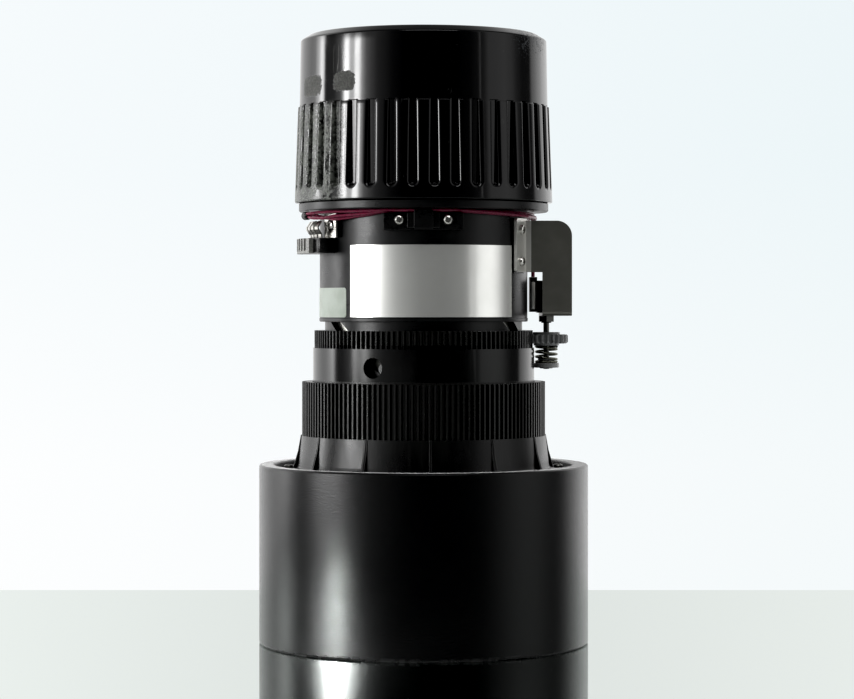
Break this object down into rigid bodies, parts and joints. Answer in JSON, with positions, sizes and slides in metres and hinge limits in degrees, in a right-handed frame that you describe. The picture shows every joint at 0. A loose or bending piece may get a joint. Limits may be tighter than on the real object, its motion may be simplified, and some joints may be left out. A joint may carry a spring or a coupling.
{
  "type": "projection lens",
  "caption": "Zoom lens for a video projector: hood, geared focus and zoom rings, cam barrel, mounting flange, zoom sensor and rear cap.",
  "frame": {"origin": "centre of the hood's front rim, on the plane the lens stands on", "axes": "+Z along the optical axis towards the rear cap, -Y towards the nameplate, +X towards the zoom sensor"},
  "size_m": [0.112, 0.112, 0.2065],
  "materials": {
    "hood_plastic": "fine spark-eroded texture, matt black",
    "moulded_black": "semi-gloss black moulding",
    "black_anodised": "satin black anodised",
    "cell_black": "matt black anodised",
    "barrel_metal": "satin turned aluminium",
    "helicoid_brass": "turned and greased",
    "optical_glass": "coated optical glass",
    "screw_steel": "nickel-plated steel",
    "pin_steel": "ground steel",
    "cap_plastic": "glossy black, scuffed",
    "plate_silver": "satin silver, bare",
    "label_green": "pale grey-green label, bare",
    "block_black": "satin black moulding",
    "contact_metal": "plated contact metal",
    "comb_grey": "light grey moulding",
    "wire_red": "crimson wire insulation",
    "sleeve_black": "shrunk black tubing",
    "bracket_olive": "dark olive-grey coated steel sheet",
    "sensor_grey": "dark grey moulding",
    "shaft_steel": "dark steel",
    "pinion_grey": "dark grey moulding",
    "spring_steel": "spring steel"
  },
  "bodies": {
    "barrel": {"main_barrel": "black_anodised", "mount_flange": "black_anodised", "bayonet_ring": "barrel_metal", "flange_screws": "screw_steel", "rear_barrel": "black_anodised", "rear_element_1": "optical_glass", "rear_element_2": "optical_glass", "rear_element_3": "optical_glass", "rear_spacers": "cell_black", "rear_lock_ring": "cell_black", "guide_barrel": "barrel_metal", "helicoid_base": "helicoid_brass", "helicoid_screws": "screw_steel", "key_pins": "pin_steel", "nameplate": "plate_silver", "serial_label": "label_green", "lock_block": "block_black", "lock_block_screws": "screw_steel", "contact_bracket": "block_black", "contact_plate": "contact_metal", "contact_plate_screw": "screw_steel", "contact_springs": "contact_metal", "connector_block": "block_black", "contact_comb": "comb_grey", "wire_harness": "wire_red", "wire_sleeve": "sleeve_black", "sensor_bracket": "bracket_olive", "bracket_screws": "screw_steel", "sensor_body": "block_black", "sensor_terminals": "sensor_grey", "sensor_nut": "shaft_steel"},
    "rear_cover": {"rear_cap": "cap_plastic"},
    "zoom_drive": {"zoom_ring": "moulded_black", "cam_barrel": "black_anodised", "zoom_ring_screws": "screw_steel"},
    "pinion_unit": {"sensor_shaft": "shaft_steel", "sensor_pinion": "pinion_grey", "clutch_spring": "spring_steel", "spring_collar": "pinion_grey"},
    "variator": {"variator_cell": "cell_black", "variator_rollers": "pin_steel", "variator_lens_a": "optical_glass", "variator_lens_b": "optical_glass", "variator_lock_ring": "cell_black"},
    "compensator": {"compensator_cell": "cell_black", "compensator_rollers": "pin_steel", "compensator_lens": "optical_glass", "compensator_lock_ring": "cell_black"},
    "front_group": {"front_cell": "cell_black", "front_bell": "cell_black", "front_element_1": "optical_glass", "front_element_2": "optical_glass", "front_element_3": "optical_glass", "front_lock_rings": "cell_black"},
    "focus_drive": {"focus_ring": "moulded_black", "hood": "hood_plastic", "hood_baffle": "hood_plastic", "hood_screws": "shaft_steel", "focus_retainer": "cell_black"}
  },
  "joints": [
    {"name": "focus_slide", "type": "slide", "parent": "barrel", "child": "front_group", "axis": [0, 0, -1], "range_m": [0, 0.0055]},
    {"name": "focus_turn", "type": "hinge", "parent": "front_group", "child": "focus_drive", "pos_m": [0, 0, 0.08], "axis": [0, 0, 1], "range_deg": [0, 110]},
    {"name": "zoom_turn", "type": "hinge", "parent": "barrel", "child": "zoom_drive", "pos_m": [0, 0, 0.1], "axis": [0, 0, 1], "range_deg": [0, 60]},
    {"name": "variator_slide", "type": "slide", "parent": "barrel", "child": "variator", "axis": [0, 0, 1], "range_m": [0, 0.024]},
    {"name": "compensator_slide", "type": "slide", "parent": "barrel", "child": "compensator", "axis": [0, 0, 1], "range_m": [-0.0085, 0]},
    {"name": "sensor_spin", "type": "hinge", "parent": "barrel", "child": "pinion_unit", "pos_m": [0.04232, 0.01005, 0.1], "axis": [0, 0, 1], "range_deg": [-318.5, 0]},
    {"name": "cap_lift", "type": "slide", "parent": "barrel", "child": "rear_cover", "axis": [0, 0, 1], "range_m": [0, 0.075]}
  ],
  "couplings": [
    {"joint": "focus_slide", "follows": "focus_turn", "m_per_rad": 0.002864},
    {"joint": "variator_slide", "follows": "zoom_turn", "m_per_rad": 0.022918},
    {"joint": "compensator_slide", "follows": "zoom_turn", "m_per_rad": -0.008116},
    {"joint": "sensor_spin", "follows": "zoom_turn", "ratio": -5.3043}
  ]
}
